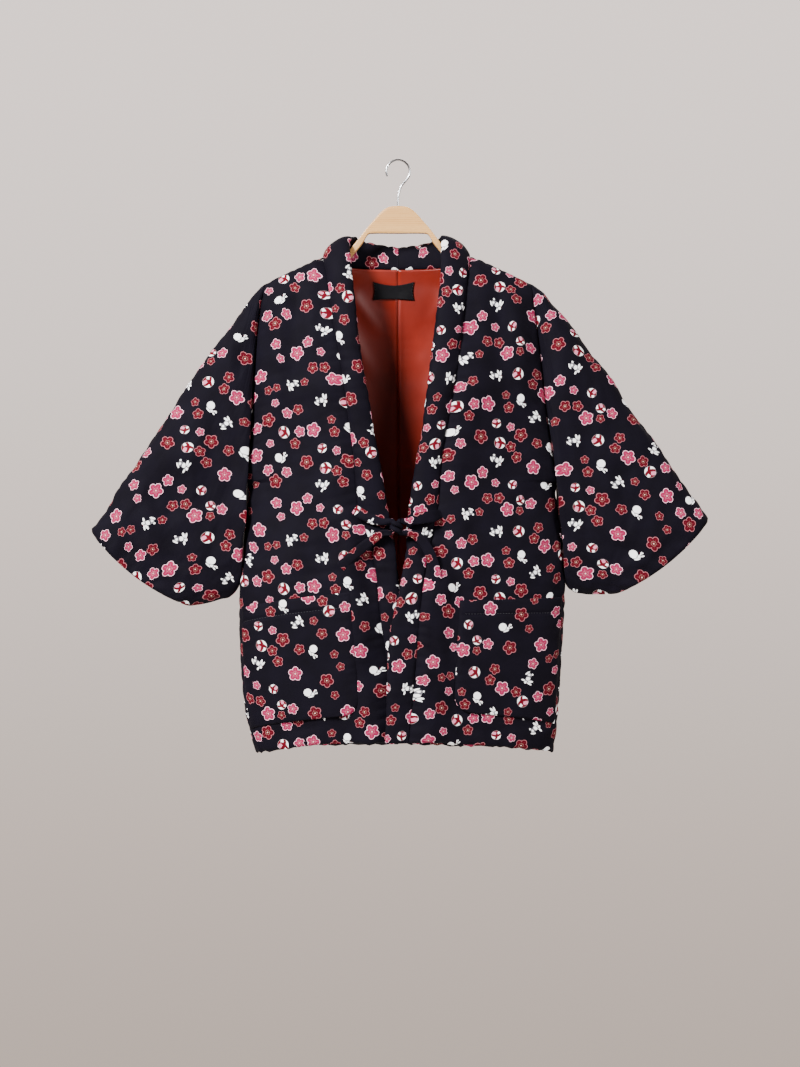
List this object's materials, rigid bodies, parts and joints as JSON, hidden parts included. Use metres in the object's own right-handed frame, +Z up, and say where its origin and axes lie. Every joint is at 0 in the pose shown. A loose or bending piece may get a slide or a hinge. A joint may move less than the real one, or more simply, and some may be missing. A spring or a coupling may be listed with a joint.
{
  "type": "hanten jacket on a wooden hanger",
  "caption": "Padded hanten jacket with wide sleeves, a band collar, patch pockets and cloth ties, hung on a pale wooden hanger.",
  "frame": {"origin": "inside of the hook's bend, where a rail carries it", "axes": "+X towards the wearer's left, +Y towards the back, +Z up"},
  "size_m": [0.961, 0.1535, 0.9205],
  "materials": {
    "printed_cloth": "printed cotton, matt",
    "lining": "satin",
    "label": "woven, matt",
    "hanger_wood": "clear varnish",
    "hook_wire": "bright"
  },
  "bodies": {
    "root": {"front_right": "printed_cloth", "front_left": "printed_cloth", "back_right": "printed_cloth", "back_left": "printed_cloth", "sleeve_right": "printed_cloth", "sleeve_left": "printed_cloth", "collar_right": "printed_cloth", "collar_left": "printed_cloth", "pocket_right": "printed_cloth", "pocket_left": "printed_cloth", "tie_right": "printed_cloth", "tie_left": "printed_cloth", "lining_right": "lining", "lining_left": "lining", "neck_label": "label", "hanger": "hanger_wood", "hook": "hook_wire"}
  },
  "joints": []
}
